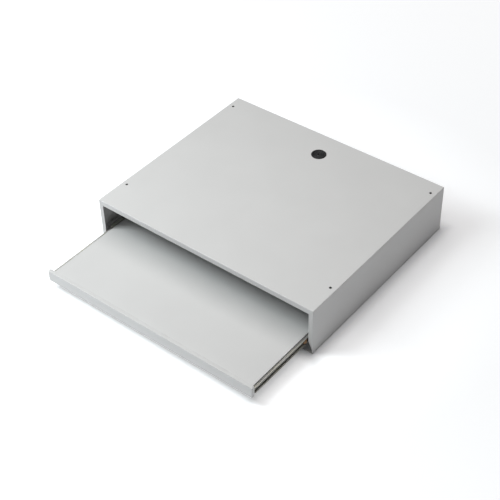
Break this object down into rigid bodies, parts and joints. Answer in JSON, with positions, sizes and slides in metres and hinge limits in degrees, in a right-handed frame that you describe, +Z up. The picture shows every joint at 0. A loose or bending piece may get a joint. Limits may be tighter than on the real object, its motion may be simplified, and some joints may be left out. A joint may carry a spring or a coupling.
{
  "type": "under desk drawer",
  "caption": "Steel under-desk housing, open at the front, with a pull-out shelf on ball-bearing runners and a rubber cable grommet in its top.",
  "frame": {"origin": "centre of the housing's flat top face, which is screwed up against the underside of a desk", "axes": "+Z up, along the top face's outward normal; +X across the width, to the right for a user facing the front; -Y towards the user, the way the shelf pulls out"},
  "size_m": [0.6, 0.6929, 0.126],
  "materials": {
    "powder_coat": "light grey powder coat, fine texture, semi-matt",
    "zinc_steel": "zinc-plated rolled steel, satin",
    "polished_steel": "bright steel",
    "black_rubber": "matt moulded rubber",
    "amber_plastic": "moulded plastic, amber brown"
  },
  "bodies": {
    "housing": {"case_shell": "powder_coat", "rear_panel": "powder_coat", "rear_rivet_1": "polished_steel", "rear_rivet_2": "polished_steel", "rear_rivet_3": "polished_steel", "rear_rivet_4": "polished_steel", "cable_grommet": "black_rubber", "runner_bracket_left": "powder_coat", "runner_bracket_right": "powder_coat", "runner_outer_left": "zinc_steel", "runner_outer_right": "zinc_steel", "front_bumper_left": "black_rubber", "front_bumper_right": "black_rubber", "rear_bumper_left": "black_rubber", "rear_bumper_right": "black_rubber", "outer_screw_left_1": "zinc_steel", "outer_screw_left_2": "zinc_steel", "outer_screw_left_3": "zinc_steel", "outer_screw_right_1": "zinc_steel", "outer_screw_right_2": "zinc_steel", "outer_screw_right_3": "zinc_steel"},
    "shelf": {"shelf_pan": "powder_coat", "shelf_stiffener": "powder_coat", "front_rail": "powder_coat", "rail_rivet_1": "polished_steel", "rail_rivet_2": "polished_steel", "rail_rivet_3": "polished_steel", "runner_inner_left": "zinc_steel", "runner_inner_right": "zinc_steel", "runner_stop_left": "amber_plastic", "runner_stop_right": "amber_plastic", "detent_pad_left": "amber_plastic", "detent_pad_right": "amber_plastic", "release_lever_left": "black_rubber", "release_lever_right": "black_rubber", "inner_screw_left_1": "zinc_steel", "inner_screw_left_2": "zinc_steel", "inner_screw_left_3": "zinc_steel", "inner_screw_right_1": "zinc_steel", "inner_screw_right_2": "zinc_steel", "inner_screw_right_3": "zinc_steel"},
    "retainer_left": {"ball_retainer_left": "zinc_steel", "ball_left_1": "polished_steel", "ball_left_2": "polished_steel", "ball_left_3": "polished_steel", "ball_left_4": "polished_steel", "ball_left_5": "polished_steel", "ball_left_6": "polished_steel", "ball_left_7": "polished_steel", "ball_left_8": "polished_steel"},
    "retainer_right": {"ball_retainer_right": "zinc_steel", "ball_right_1": "polished_steel", "ball_right_2": "polished_steel", "ball_right_3": "polished_steel", "ball_right_4": "polished_steel", "ball_right_5": "polished_steel", "ball_right_6": "polished_steel", "ball_right_7": "polished_steel", "ball_right_8": "polished_steel"}
  },
  "joints": [
    {"name": "shelf_slide", "type": "slide", "parent": "housing", "child": "shelf", "axis": [0, -1, 0], "range_m": [-0.1865, 0.1335]},
    {"name": "retainer_left_slide", "type": "slide", "parent": "housing", "child": "retainer_left", "axis": [0, -1, 0], "range_m": [-0.0933, 0.0668]},
    {"name": "retainer_right_slide", "type": "slide", "parent": "housing", "child": "retainer_right", "axis": [0, -1, 0], "range_m": [-0.0933, 0.0668]}
  ],
  "couplings": [
    {"joint": "retainer_left_slide", "follows": "shelf_slide", "ratio": 0.5},
    {"joint": "retainer_right_slide", "follows": "shelf_slide", "ratio": 0.5}
  ]
}
